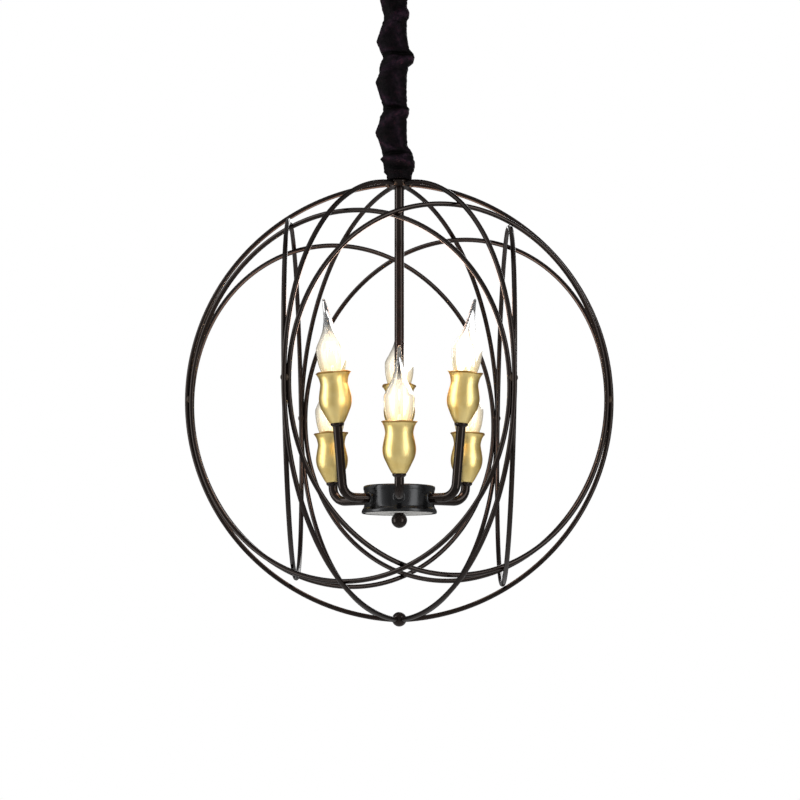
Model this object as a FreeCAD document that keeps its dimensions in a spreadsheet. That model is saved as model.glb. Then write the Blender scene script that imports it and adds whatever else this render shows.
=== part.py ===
"""Orb chandelier: a wire orb cage round six candle arms, hung from a canopy by a sleeved chain.

Millimetres, +Z up.  The origin is the middle of the crossbar's top face, on the ceiling.
"""
import FreeCAD, Part
import Sketcher
import math
import os
import re

os.makedirs("parts", exist_ok=True)
doc = FreeCAD.newDocument("orb_chandelier")

# --------------------------------------------------------------------------- driving sizes

SIZES = {
    # ceiling plate
    "crossbar_length": 100.0,
    "crossbar_width": 18.0,
    "crossbar_thick": 2.0,
    "box_screw_pitch": 69.85,
    "box_screw_hole": 4.6,
    "earth_screw_dia": 4.0,
    "earth_screw_length": 8.0,
    "earth_screw_head": 7.5,
    "earth_screw_head_height": 2.0,
    "earth_screw_place": 22.0,
    "nipple_dia": 10.0,
    "nipple_bore": 6.6,
    "canopy_dia": 120.0,
    "canopy_depth": 24.0,
    "canopy_wall": 1.0,
    "canopy_corner": 9.0,
    "loop_nut_dia": 18.0,
    "loop_nut_height": 9.0,
    "hex_nut_across": 15.0,
    "hex_nut_height": 4.0,
    # loops and chain
    "loop_wire": 3.4,
    "loop_width": 18.0,
    "loop_height": 36.5,
    "link_wire": 2.2,
    "link_width": 10.0,
    "link_length": 25.0,
    "link_gap": 0.3,
    # cage
    "cage_width": 355.6,
    "wire_dia": 4.0,
    "rib_bow": 6.2,
    "hoop_lean": 1.15,
    "hoop_stagger": 5.1,
    "hoop_lift": 0.4,
    "hoop_gap": 0.2,
    "weld_dia": 7.0,
    "collar_dia": 18.0,
    "collar_height": 6.0,
    "bottom_ball_dia": 12.0,
    # rod and hub
    "rod_dia": 8.0,
    "rod_wall": 1.0,
    "coupling_dia": 13.0,
    "coupling_height": 11.0,
    "thread_depth": 6.0,
    "hub_dia": 59.4,
    "hub_height": 23.0,
    "hub_wall": 1.2,
    "hub_corner": 2.2,
    "hub_drop": 71.6,
    "flange_out": 1.3,
    "flange_height": 3.6,
    "cover_thick": 1.5,
    "cover_gap": 0.3,
    "finial_dia": 13.0,
    "finial_cap": 5.46,
    "hub_nut_across": 13.0,
    "hub_nut_height": 3.0,
    # candle arms
    "arm_dia": 7.2,
    "arm_wall": 1.0,
    "arm_drop": 11.1,
    "arm_bend": 12.0,
    "arm_root": 21.0,
    "arm_nut_across": 10.5,
    "arm_nut_height": 2.5,
    "arm_nut_gap": 0.6,
    "low_reach": 64.4,
    "low_rise": 16.1,
    "low_lean": 3.0,
    "high_reach": 58.4,
    "high_rise": 60.1,
    "high_lean": 5.5,
    "seat_dia": 11.4,
    "seat_height": 2.0,
    # candle cups and sockets
    "cup_height": 41.5,
    "cup_wall": 0.8,
    "cup_foot_dia": 11.4,
    "cup_belly_dia": 26.9,
    "cup_belly_height": 19.5,
    "cup_neck_dia": 22.8,
    "cup_neck_height": 32.0,
    "cup_lip_dia": 28.8,
    "socket_dia": 16.6,
    "socket_boss_dia": 9.4,
    "socket_boss_height": 8.0,
    "socket_height": 25.0,
    "socket_floor": 3.0,
    # bulbs
    "base_dia": 11.9,
    "base_length": 19.0,
    "base_gap": 0.3,
    "base_thread_pitch": 2.5,
    "base_thread_depth": 0.5,
    "base_collar": 1.5,
    "base_tail": 5.5,
    "base_tail_shoulder": 1.2,
    "base_contact_dia": 4.0,
    "bulb_dia": 25.0,
    "bulb_wide_height": 27.0,
    "bulb_height": 69.0,
    "bulb_neck_dia": 12.6,
    "bulb_tip_dia": 2.2,
    "bulb_tip_bend": 3.5,
    "glass_wall": 0.7,
    "stem_dia": 5.0,
    "stem_height": 14.0,
    "lead_dia": 0.5,
    "filament_height": 34.0,
    "filament_spread": 8.0,
    # fabric sleeve
    "sleeve_cloth": 0.8,
    "sleeve_ease": 0.5,
    "sleeve_slack": 7.5,
    "sleeve_end_gap": 0.5,
}

sheet = doc.addObject("Spreadsheet::Sheet", "sizes")
for row, (alias, value) in enumerate(SIZES.items(), start=1):
    sheet.set("A%d" % row, alias.replace("_", " "))
    sheet.set("B%d" % row, str(value))
    sheet.setAlias("B%d" % row, alias)
doc.recompute()


def formula(text):
    """The same formula with each size word pointed at the sheet."""
    return re.sub(r"[a-z_]+", lambda w: "sizes." + w.group() if w.group() in SIZES else w.group(), text)


def number(text):
    """What a formula of size words comes to, in mm or degrees."""
    value = sheet.evalExpression(formula(text))
    return float(getattr(value, "Value", value))


# Formulas that several pieces share.
SIDES = 6
EQUATOR_R = "(cage_width / 2 - wire_dia / 2)"
HOOP_R = "(%s * cos(30 deg) - wire_dia - hoop_gap)" % EQUATOR_R
RIB_R = "(%s + rib_bow)" % EQUATOR_R
LINK_PITCH = "(link_length - 2 * link_wire - link_gap)"
LINKS = 5
TOP_LOOP_END = "(canopy_depth + loop_nut_height + loop_height)"
# The chain's first link passes over the canopy loop's lowest wire, and each end link hooks a loop.
LOOP_HOOK = "(loop_wire / 2 + link_wire / 2 + link_gap)"
CHAIN_TOP = "(%s - loop_wire / 2 - %s)" % (TOP_LOOP_END, LOOP_HOOK)
CHAIN_BOTTOM = "(%s + link_length - link_wire + %d * %s)" % (CHAIN_TOP, LINKS - 1, LINK_PITCH)
LOW_LOOP_TOP = "(%s - %s - loop_wire / 2)" % (CHAIN_BOTTOM, LOOP_HOOK)
POLE = "sqrt(%s * %s - (collar_dia / 2 + rib_bow) * (collar_dia / 2 + rib_bow))" % (RIB_R, RIB_R)
ORB_DROP = "(%s + loop_height + coupling_height + collar_height / 2 + %s)" % (LOW_LOOP_TOP, POLE)

ORB_Z = -number(ORB_DROP)
HUB_TOP = ORB_Z - number("hub_drop")
HUB_BOTTOM = HUB_TOP - number("hub_height")
ARM_Z = HUB_TOP - number("arm_drop")
COLLAR_BOTTOM = ORB_Z + number(POLE) - number("collar_height / 2")

# --------------------------------------------------------------------------- helpers

UP = FreeCAD.Vector(0, 0, 1)
subparts = []


def place(x=0.0, y=0.0, z=0.0, axis=UP, angle=0.0):
    return FreeCAD.Placement(FreeCAD.Vector(x, y, z), FreeCAD.Rotation(FreeCAD.Vector(*axis), angle))


def turn(azimuth):
    """A turn of the whole piece round the chandelier's own axis."""
    return place(angle=azimuth)


def bind(obj, **properties):
    for name, text in properties.items():
        obj.setExpression(name, formula(text))
    return obj


def solid(kind, name, where=None, **properties):
    """A Part primitive whose properties follow the sheet."""
    obj = bind(doc.addObject("Part::" + kind, name), **properties)
    obj.Placement = where or place()
    return obj


def cut(name, base, tool):
    obj = doc.addObject("Part::Cut", name)
    obj.Base = base
    obj.Tool = tool
    return obj


def fuse(name, pieces):
    obj = doc.addObject("Part::MultiFuse", name)
    obj.Shapes = pieces
    obj.Refine = True
    return obj


def shaped(name, shape, where=None):
    """A shape worked out here from the sheet's values."""
    obj = doc.addObject("Part::Feature", name)
    obj.Shape = shape
    obj.Placement = where or place()
    return obj


def group(name, pieces):
    """Several equal solids kept as one node."""
    obj = doc.addObject("Part::Compound", name)
    obj.Links = pieces
    return obj


def keep(label, obj):
    obj.Label = label
    subparts.append(obj)
    return obj


def sketch_on(body, name, role="XY_Plane"):
    sketch = body.newObject("Sketcher::SketchObject", name)
    plane = next(feature for feature in body.Origin.OriginFeatures if feature.Role == role)
    sketch.AttachmentSupport = [(plane, "")]
    sketch.MapMode = "FlatFace"
    return sketch


def circle_on(sketch, radius):
    """A circle of a bound radius on the sketch's origin."""
    index = sketch.addGeometry(Part.Circle(FreeCAD.Vector(0, 0, 0), UP, number(radius)))
    row = sketch.addConstraint(Sketcher.Constraint("Radius", index, number(radius)))
    sketch.setExpression("Constraints[%d]" % row, formula(radius))
    sketch.addConstraint(Sketcher.Constraint("Coincident", index, 3, -1, 1))


def ring(name, outer, bore, height, where=None):
    """A round collar: outer diameter, bore and height."""
    body = solid("Cylinder", name + "_blank", Radius=outer + " / 2", Height=height)
    hole = solid("Cylinder", name + "_hole", Radius=bore + " / 2", Height=height)
    obj = cut(name, body, hole)
    obj.Placement = where or place()
    return obj


def hex_nut(name, across, bore, height, where=None):
    """A hexagon nut: width across corners, bore and height."""
    body = solid("Prism", name + "_blank", Circumradius=across + " / 2", Height=height)
    body.Polygon = 6
    hole = solid("Cylinder", name + "_hole", Radius=bore + " / 2", Height=height)
    obj = cut(name, body, hole)
    obj.Placement = where or place()
    return obj


def oval(name, wire, width, length, where=None):
    """A wire loop of two half rings and two straights, upright in XZ, its top at the origin."""
    bend = "(%s / 2 - %s / 2)" % (width, wire)
    straight = "(%s - %s)" % (length, width)
    tall, reach, run = number(length), number(bend), number(straight)
    parts = []
    for end, angle in ((-number(width) / 2, 90), (-tall + number(width) / 2, -90)):
        upright = place(z=end).multiply(place(axis=(1, 0, 0), angle=angle))
        parts.append(solid("Torus", name + "_bend", upright, Radius1=bend, Radius2=wire + " / 2"))
        parts[-1].Angle3 = 180
    for side in (-reach, reach):
        where_straight = place(x=side, z=-tall / 2 - run / 2)
        parts.append(solid("Cylinder", name + "_side", where_straight,
                           Radius=wire + " / 2", Height=straight))
    obj = fuse(name, parts)
    obj.Placement = where or place()
    return obj


def turned(points):
    """A solid turned about Z from a closed outline of (radius, height) points."""
    outline = [FreeCAD.Vector(radius, 0, height) for radius, height in points]
    outline.append(outline[0])
    face = Part.Face(Part.makePolygon(outline))
    return face.revolve(FreeCAD.Vector(0, 0, 0), UP, 360)


# --------------------------------------------------------------------------- ceiling


def crossbar():
    """The strap: its top face on the ceiling, two box screw holes, the nipple's and the earth's."""
    blank = solid("Box", "crossbar_blank",
                  place(-number("crossbar_length / 2"), -number("crossbar_width / 2"),
                        -number("crossbar_thick")),
                  Length="crossbar_length", Width="crossbar_width", Height="crossbar_thick")
    holes = []
    for name, x, dia in (("left_box_hole", -number("box_screw_pitch / 2"), "box_screw_hole"),
                         ("right_box_hole", number("box_screw_pitch / 2"), "box_screw_hole"),
                         ("nipple_hole", 0.0, "nipple_dia"),
                         ("earth_hole", number("earth_screw_place"), "earth_screw_dia")):
        holes.append(solid("Cylinder", name, place(x, 0, -number("crossbar_thick")),
                           Radius=dia + " / 2", Height="crossbar_thick"))
    keep("crossbar", cut("crossbar", blank, fuse("crossbar_holes", holes)))


def ceiling():
    crossbar()
    thick, depth = number("crossbar_thick"), number("canopy_depth")
    nut, loop_nut = number("hex_nut_height"), number("loop_nut_height")

    keep("crossbar_nipple", ring("crossbar_nipple", "nipple_dia", "nipple_bore",
                                 "canopy_depth + thread_depth",
                                 place(z=-depth - number("thread_depth"))))
    keep("nipple_lock_nut", hex_nut("nipple_lock_nut", "hex_nut_across", "nipple_dia",
                                    "hex_nut_height", place(z=-thick - nut)))

    shank = solid("Cylinder", "earth_shank", place(number("earth_screw_place"), 0, -number("earth_screw_length")),
                  Radius="earth_screw_dia / 2", Height="earth_screw_length")
    head = solid("Cylinder", "earth_head",
                 place(number("earth_screw_place"), 0, -thick - number("earth_screw_head_height")),
                 Radius="earth_screw_head / 2", Height="earth_screw_head_height")
    keep("ground_screw", fuse("ground_screw", [shank, head]))

    body = doc.addObject("PartDesign::Body", "ceiling_canopy")
    disc = sketch_on(body, "canopy_disc")
    circle_on(disc, "canopy_dia / 2")
    pad = body.newObject("PartDesign::Pad", "canopy_pad")
    pad.Profile = disc
    bind(pad, Length="canopy_depth")
    doc.recompute()
    rim = [e for e in range(1, len(pad.Shape.Edges) + 1)
           if pad.Shape.Edges[e - 1].CenterOfMass.z < 0.01 and pad.Shape.Edges[e - 1].Closed]
    corner = body.newObject("PartDesign::Fillet", "canopy_corner_round")
    corner.Base = (pad, ["Edge%d" % e for e in rim])
    bind(corner, Radius="canopy_corner")
    doc.recompute()
    top = max(range(len(corner.Shape.Faces)), key=lambda f: corner.Shape.Faces[f].CenterOfMass.z)
    shell = body.newObject("PartDesign::Thickness", "canopy_shell")
    shell.Base = (corner, ["Face%d" % (top + 1)])
    bind(shell, Value="canopy_wall")
    shell.Reversed = True
    doc.recompute()
    bore = sketch_on(body, "canopy_bore")
    circle_on(bore, "nipple_dia / 2")
    pocket = body.newObject("PartDesign::Pocket", "canopy_bore_cut")
    pocket.Profile = bore
    pocket.Reversed = True
    bind(pocket, Length="2 * canopy_wall")
    body.Placement = place(z=-depth)
    keep("ceiling_canopy", body)

    # The nut's bore stops at the loop, which closes its lower end.
    nut_blank = solid("Cylinder", "loop_nut_blank", Radius="loop_nut_dia / 2", Height="loop_nut_height")
    nut_bore = solid("Cylinder", "loop_nut_bore", place(z=loop_nut - number("thread_depth")),
                     Radius="nipple_dia / 2", Height="thread_depth")
    nut_piece = cut("canopy_loop_nut", nut_blank, nut_bore)
    nut_piece.Placement = place(z=-depth - loop_nut)
    keep("canopy_loop_nut", nut_piece)


def chain():
    """The loops lie in the YZ plane and the links turn a quarter each from there."""
    keep("canopy_loop", oval("canopy_loop", "loop_wire", "loop_width", "loop_height",
                             place(z=-number("canopy_depth + loop_nut_height"), angle=90)))
    links = []
    for index in range(LINKS):
        top = -number(CHAIN_TOP) + number("link_wire / 2") - index * number(LINK_PITCH)
        links.append(oval("chain_link_%d" % (index + 1), "link_wire", "link_width", "link_length",
                          place(z=top, angle=90 * (index % 2))))
    keep("chain_link_top", links[0])
    keep("chain_links_middle", group("chain_links_middle", links[1:-1]))
    keep("chain_link_bottom", links[-1])
    keep("hanging_loop", oval("hanging_loop", "loop_wire", "loop_width", "loop_height",
                              place(z=-number(LOW_LOOP_TOP), angle=90)))


# --------------------------------------------------------------------------- cage


def arc_wire(name, radius, azimuth, centre_out, from_angle, sweep):
    """A piece of wire bent to an arc in the upright plane of an azimuth."""
    upright = turn(azimuth).multiply(place(x=centre_out, z=ORB_Z))
    upright = upright.multiply(place(axis=(1, 0, 0), angle=90)).multiply(place(angle=from_angle))
    obj = solid("Torus", name, upright, Radius1=radius, Radius2="wire_dia / 2")
    obj.Angle3 = sweep
    return obj


def cage():
    collar_outer = solid("Cylinder", "collar_outer", place(z=COLLAR_BOTTOM),
                         Radius="collar_dia / 2", Height="collar_height")
    ball = solid("Sphere", "ball_outer", place(z=ORB_Z - number(POLE)), Radius="bottom_ball_dia / 2")
    keep("cage_top_collar", ring("cage_top_collar", "collar_dia", "rod_dia", "collar_height",
                                 place(z=COLLAR_BOTTOM)))
    keep("cage_bottom_ball", solid("Sphere", "cage_bottom_ball", place(z=ORB_Z - number(POLE)),
                                   Radius="bottom_ball_dia / 2"))

    reach = math.degrees(math.acos(number("(rod_dia / 2 + wire_dia / 4 + rib_bow) / %s" % RIB_R)))
    ribs = []
    for side in range(SIDES):
        azimuth = 60 * side
        wire = arc_wire("rib_wire_%d" % (side + 1), RIB_R, azimuth, -number("rib_bow"), -reach, 2 * reach)
        ends = fuse("rib_ends_%d" % (side + 1), [collar_outer, ball])
        ribs.append(keep("meridian_rib_%d" % (side + 1), cut("meridian_rib_%d" % (side + 1), wire, ends)))

    hoops = []
    for side in range(SIDES):
        lift = number("hoop_lift") - (0 if side % 2 else number("hoop_stagger"))
        where = turn(60 * side).multiply(place(x=number(EQUATOR_R + " / 2"), z=ORB_Z + lift))
        where = where.multiply(place(axis=(0, 1, 0), angle=90 + number("hoop_lean")))
        hoop = solid("Torus", "side_hoop_%d" % (side + 1), where, Radius1=HOOP_R, Radius2="wire_dia / 2")
        hoops.append(keep("side_hoop_%d" % (side + 1), hoop))

    beads = []
    for side in range(SIDES):
        where = turn(60 * side).multiply(place(x=number(EQUATOR_R + " - wire_dia / 2"), z=ORB_Z))
        bead = solid("Sphere", "bead_%d" % (side + 1), where, Radius="weld_dia / 2")
        for wire in (ribs[side], hoops[side - 1], hoops[(side + 1) % SIDES]):
            bead = cut("bead_%d_less_%s" % (side + 1, wire.Name), bead, wire)
        beads.append(bead)
    keep("equator_welds", group("equator_welds", beads))


# --------------------------------------------------------------------------- rod and hub


def rod_and_hub():
    coupling_bottom = COLLAR_BOTTOM + number("collar_height")
    rod_top = coupling_bottom + number("thread_depth")
    rod_bottom = HUB_BOTTOM - number("finial_dia / 4")
    blank = solid("Cylinder", "coupling_blank", place(z=coupling_bottom),
                  Radius="coupling_dia / 2", Height="coupling_height")
    bore = solid("Cylinder", "coupling_bore", place(z=coupling_bottom), Radius="rod_dia / 2",
                 Height="thread_depth")
    keep("loop_coupling", cut("loop_coupling", blank, bore))

    outer = solid("Cylinder", "rod_outer", place(z=rod_bottom), Radius="rod_dia / 2")
    inner = solid("Cylinder", "rod_inner", place(z=rod_bottom), Radius="rod_dia / 2 - rod_wall")
    outer.Height = rod_top - rod_bottom
    inner.Height = rod_top - rod_bottom
    keep("centre_rod", cut("centre_rod", outer, inner))

    # The hub is a pressed cap with a flange round its open underside.
    cap = solid("Cylinder", "hub_cap", Radius="hub_dia / 2", Height="hub_height")
    flange = solid("Cylinder", "hub_flange", Radius="hub_dia / 2 + flange_out", Height="flange_height")
    skin = fuse("hub_skin", [cap, flange])
    doc.recompute()
    top_edge = [e + 1 for e, edge in enumerate(skin.Shape.Edges)
                if edge.Closed and abs(edge.CenterOfMass.z - number("hub_height")) < 0.01]
    rounded = doc.addObject("Part::Fillet", "hub_rounded")
    rounded.Base = skin
    rounded.Edges = [(e, number("hub_corner"), number("hub_corner")) for e in top_edge]
    inside = solid("Cylinder", "hub_inside", Radius="hub_dia / 2 - hub_wall", Height="hub_height - hub_wall")
    doc.recompute()
    inner_edge = [e + 1 for e, edge in enumerate(inside.Shape.Edges)
                  if edge.Closed and abs(edge.CenterOfMass.z - number("hub_height - hub_wall")) < 0.01]
    hollow = doc.addObject("Part::Fillet", "hub_hollow")
    hollow.Base = inside
    inner_round = number("hub_corner - hub_wall")
    hollow.Edges = [(e, inner_round, inner_round) for e in inner_edge]
    rod_hole = solid("Cylinder", "hub_rod_hole", Radius="rod_dia / 2", Height="hub_height")
    bores = [hollow, rod_hole]
    for side in range(SIDES):
        where = turn(30 + 60 * side).multiply(place(z=number("hub_height - arm_drop")))
        bores.append(solid("Cylinder", "hub_arm_hole_%d" % (side + 1),
                           where.multiply(place(axis=(0, 1, 0), angle=90)),
                           Radius="arm_dia / 2", Height="hub_dia / 2 + 1"))
    shell = cut("hub_shell", rounded, fuse("hub_bores", bores))
    shell.Placement = place(z=HUB_BOTTOM)
    keep("hub_shell", shell)

    keep("hub_cover", ring("hub_cover", "(hub_dia - 2 * hub_wall - 2 * cover_gap)", "rod_dia",
                           "cover_thick", place(z=HUB_BOTTOM)))
    wall, nut = number("hub_wall"), number("hub_nut_height")
    nuts = []
    for name, low in (("upper", HUB_TOP - wall - nut), ("lower", HUB_BOTTOM + number("cover_thick"))):
        nuts.append(hex_nut("hub_nut_" + name, "hub_nut_across", "rod_dia", "hub_nut_height", place(z=low)))
    keep("hub_lock_nuts", group("hub_lock_nuts", nuts))

    ball = solid("Sphere", "finial_ball", Radius="finial_dia / 2")
    flat = solid("Box", "finial_flat", Length="finial_dia", Width="finial_dia", Height="finial_dia")
    flat.Placement = place(-number("finial_dia / 2"), -number("finial_dia / 2"), number("finial_cap"))
    bore = solid("Cylinder", "finial_bore", Radius="rod_dia / 2", Height="finial_dia / 2")
    bore.Placement = place(z=number("finial_cap - finial_dia / 4"))
    finial = cut("hub_finial", ball, fuse("finial_cuts", [flat, bore]))
    finial.Placement = place(z=HUB_BOTTOM - number("finial_cap"))
    keep("hub_finial", finial)


# --------------------------------------------------------------------------- candles


def candle_frame(azimuth, kind):
    """The place of a candle's foot: its local Z runs up the candle, its local X outwards."""
    foot = place(x=number(kind + "_reach"), z=ARM_Z + number(kind + "_rise"))
    lean = place(axis=(0, 1, 0), angle=number(kind + "_lean"))
    return turn(azimuth).multiply(foot).multiply(lean)


def tube(name, azimuth, kind, radius):
    """The arm's path, of the radius named by a formula: out of the hub, round the bend and up."""
    lean = math.radians(number(kind + "_lean"))
    bend = number("arm_bend")
    bend_z = ARM_Z + bend
    foot_z = ARM_Z + number(kind + "_rise")
    bend_x = (number(kind + "_reach") + (bend_z - foot_z) * math.tan(lean) - bend / math.cos(lean))
    rise = (foot_z - bend_z + bend * math.sin(lean)) / math.cos(lean)
    spin = turn(azimuth)

    level = solid("Cylinder", name + "_level",
                  spin.multiply(place(x=number("arm_root"), z=ARM_Z, axis=(0, 1, 0), angle=90)),
                  Radius=radius)
    level.Height = bend_x - number("arm_root")
    elbow = solid("Torus", name + "_elbow",
                  spin.multiply(place(x=bend_x, z=bend_z, axis=(1, 0, 0), angle=90)).multiply(place(angle=-90)),
                  Radius1="arm_bend", Radius2=radius)
    elbow.Angle3 = 90 - math.degrees(lean)
    foot = candle_frame(azimuth, kind)
    upright = solid("Cylinder", name + "_upright", foot.multiply(place(z=-rise)), Radius=radius)
    upright.Height = rise + number("socket_boss_height / 2")
    return fuse(name, [level, elbow, upright])


# Shares of the step in radius and in height at the points between the cup's named sizes.
CUP_LOW = (0.55, 0.42)
CUP_SHOULDER = (0.45, 0.5)
CUP_FLARE = (0.35, 0.6)


def cup_outline():
    """Radius and height of the cup's outside, from the foot to the lip."""
    foot, belly = number("cup_foot_dia / 2"), number("cup_belly_dia / 2")
    neck, lip = number("cup_neck_dia / 2"), number("cup_lip_dia / 2")
    low, high, top = number("cup_belly_height"), number("cup_neck_height"), number("cup_height")
    return [(foot, 0), (foot + (belly - foot) * CUP_LOW[0], low * CUP_LOW[1]), (belly, low),
            (neck + (belly - neck) * CUP_SHOULDER[0], low + (high - low) * CUP_SHOULDER[1]), (neck, high),
            (neck + (lip - neck) * CUP_FLARE[0], high + (top - high) * CUP_FLARE[1]), (lip, top)]


def smooth(points):
    """A smooth curve through (radius, height) points."""
    curve = Part.BSplineCurve()
    curve.interpolate([FreeCAD.Vector(radius, 0, height) for radius, height in points])
    return curve.toShape()


def cup_shape():
    wall = number("cup_wall")
    outside = cup_outline()
    inside = [(radius - wall, max(height, wall)) for radius, height in outside]
    outer, inner = smooth(outside), smooth(inside)
    bore = number("arm_dia / 2")
    corners = [(outside[0], (bore, 0)), ((bore, 0), (bore, wall)), ((bore, wall), inside[0]),
               (inside[-1], outside[-1])]
    edges = [outer, inner]
    for (r_a, z_a), (r_b, z_b) in corners:
        edges.append(Part.LineSegment(FreeCAD.Vector(r_a, 0, z_a), FreeCAD.Vector(r_b, 0, z_b)).toShape())
    outline = Part.Wire(Part.__sortEdges__(edges))
    return Part.Face(outline).revolve(FreeCAD.Vector(0, 0, 0), UP, 360)


def socket_shape():
    boss, skin = number("socket_boss_dia / 2"), number("socket_dia / 2")
    bore, arm = number("base_dia / 2 + base_gap"), number("arm_dia / 2")
    low, top = number("socket_boss_height"), number("socket_boss_height + socket_height")
    floor, wall = number("socket_floor"), number("cup_wall")
    seat = low / 2
    return turned([(arm, wall), (boss, wall), (boss, low), (skin, low), (skin, top), (bore, top),
                   (bore, low + floor), (0, low + floor), (0, seat), (arm, seat)])


# Share of the height up to the bulb's widest place and of its swelling there, then share of the
# height on to the tip and what is left of the swelling.
BULB_SWELL = ((0.0, 0.0), (0.25, 0.42), (0.6, 0.85), (1.0, 1.0))
BULB_TAPER = ((0.1, 0.9), (0.22, 0.67), (0.4, 0.37), (0.62, 0.185), (0.82, 0.08), (1.0, 0.0))


def glass_sections(shrink):
    """Circles up the bulb: radius, height and how far the flame tip has bent outwards."""
    neck, wide, tip = number("bulb_neck_dia / 2"), number("bulb_dia / 2"), number("bulb_tip_dia / 2")
    widest, top, bend = number("bulb_wide_height"), number("bulb_height"), number("bulb_tip_bend")
    sections = [(neck + (wide - neck) * grown, widest * share, 0.0) for share, grown in BULB_SWELL]
    for share, left in BULB_TAPER:
        height = widest + (top - widest) * share
        sections.append((tip + (wide - tip) * left, height, bend * share * share))
    return [(radius - shrink, height, shift) for radius, height, shift in sections]


def glass_shell(shrink):
    rings = []
    sections = glass_sections(shrink)
    for index, (radius, height, shift) in enumerate(sections):
        if index == 0:
            height += shrink
        if index == len(sections) - 1:
            height -= shrink
        circle = Part.Circle(FreeCAD.Vector(shift, 0, height), UP, radius)
        rings.append(Part.Wire(circle.toShape()))
    return Part.makeLoft(rings, True)


def bulb_shapes():
    """The hollow glass, and the base with its stem, leads and filament, from the glass's foot up."""
    glass = glass_shell(0.0).cut(glass_shell(number("glass_wall")))
    base_r, length, pitch = number("base_dia / 2"), number("base_length"), number("base_thread_pitch")
    groove, shoulder = number("base_thread_depth"), number("base_tail_shoulder")
    contact = number("base_contact_dia / 2")
    outline = [(0, 0), (base_r, 0)]
    height = -number("base_collar")
    while height > -length + number("base_tail"):
        outline += [(base_r, height), (base_r - groove, height - pitch / 2), (base_r, height - pitch)]
        height -= pitch
    outline += [(base_r - shoulder, height - shoulder / 2), (contact, -length + shoulder),
                (contact, -length), (0, -length)]
    unique = [p for i, p in enumerate(outline) if i == 0 or p != outline[i - 1]]
    base = turned(unique)
    return glass, base


def filament_shape():
    wall, stem_r, stem_top = number("glass_wall"), number("stem_dia / 2"), number("stem_height")
    lead, top, spread = number("lead_dia / 2"), number("filament_height"), number("filament_spread / 2")
    stem = Part.makeCylinder(stem_r, stem_top - wall, FreeCAD.Vector(0, 0, wall))
    pieces = []
    for side in (-1, 1):
        foot = FreeCAD.Vector(side * stem_r * 0.5, 0, stem_top)
        head = FreeCAD.Vector(side * spread, 0, stem_top + spread)
        pieces.append(Part.makeCylinder(lead, (head - foot).Length, foot, head - foot))
        pieces.append(Part.makeSphere(lead, head))
        pieces.append(Part.makeCylinder(lead, top - head.z, head, UP))
        pieces.append(Part.makeSphere(lead, FreeCAD.Vector(head.x, 0, top)))
    bridge = Part.makeCylinder(lead, 2 * spread, FreeCAD.Vector(-spread, 0, top), FreeCAD.Vector(1, 0, 0))
    return stem.multiFuse(pieces + [bridge])


def candles():
    cup = cup_shape()
    socket = socket_shape()
    glass, base = bulb_shapes()
    stem = filament_shape()
    glass_foot = number("socket_boss_height + socket_height + base_gap")
    seats = []
    sockets = []
    nuts = []
    for side in range(SIDES):
        azimuth = 30 + 60 * side
        kind = "high" if side % 2 else "low"
        name = "candle_arm_%d" % (side + 1)
        outer = tube(name + "_outer", azimuth, kind, "arm_dia / 2")
        inner = tube(name + "_inner", azimuth, kind, "arm_dia / 2 - arm_wall")
        keep(name, cut(name, outer, inner))
        foot = candle_frame(azimuth, kind)
        seats.append(ring("cup_seat_%d" % (side + 1), "seat_dia", "arm_dia", "seat_height",
                          foot.multiply(place(z=-number("seat_height")))))
        keep("candle_cup_%d" % (side + 1), shaped("candle_cup_%d" % (side + 1), cup, foot))
        sockets.append(shaped("lamp_socket_%d" % (side + 1), socket, foot))
        nut_x = number("hub_dia / 2 - hub_wall - arm_nut_height - arm_nut_gap")
        nuts.append(hex_nut("arm_nut_%d" % (side + 1), "arm_nut_across", "arm_dia", "arm_nut_height",
                            turn(azimuth).multiply(place(x=nut_x, z=ARM_Z, axis=(0, 1, 0), angle=90))))
        up_candle = foot.multiply(place(z=glass_foot))
        keep("bulb_glass_%d" % (side + 1), shaped("bulb_glass_%d" % (side + 1), glass, up_candle))
        inside = [shaped("screw_base_%d" % (side + 1), base, up_candle),
                  shaped("filament_%d" % (side + 1), stem, up_candle)]
        keep("bulb_base_%d" % (side + 1), group("bulb_base_%d" % (side + 1), inside))
    keep("cup_seats", group("cup_seats", seats))
    keep("lamp_sockets", group("lamp_sockets", sockets))
    keep("arm_lock_nuts", group("arm_lock_nuts", nuts))


# --------------------------------------------------------------------------- fabric sleeve

# The main folds from the collar up: share of the sleeve's run, and how far its left and right
# sides stand out past where they would lie on the chain.
FOLDS = ((0.075, 0.6, 6.2), (0.225, 6.6, 0.0), (0.345, 0.0, 1.1), (0.46, 6.0, 0.0), (0.575, 0.2, 5.0),
         (0.65, 5.2, 0.0), (0.77, 0.0, 1.1), (0.86, 5.0, 0.0))
STEPS_PER_FOLD = 3


def oval_ring(left, right, half_depth, z):
    """One section of the sleeve: four arcs from its right side round to its left and back."""
    middle = (right - left) / 2
    half_width = (left + right) / 2
    corners = []
    for step in range(9):
        angle = math.radians(45 * step)
        corners.append(FreeCAD.Vector(middle + half_width * math.cos(angle),
                                      half_depth * math.sin(angle), z))
    arcs = [Part.Arc(*corners[start:start + 3]).toShape() for start in (0, 2, 4, 6)]
    return Part.Wire(arcs)


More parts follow.
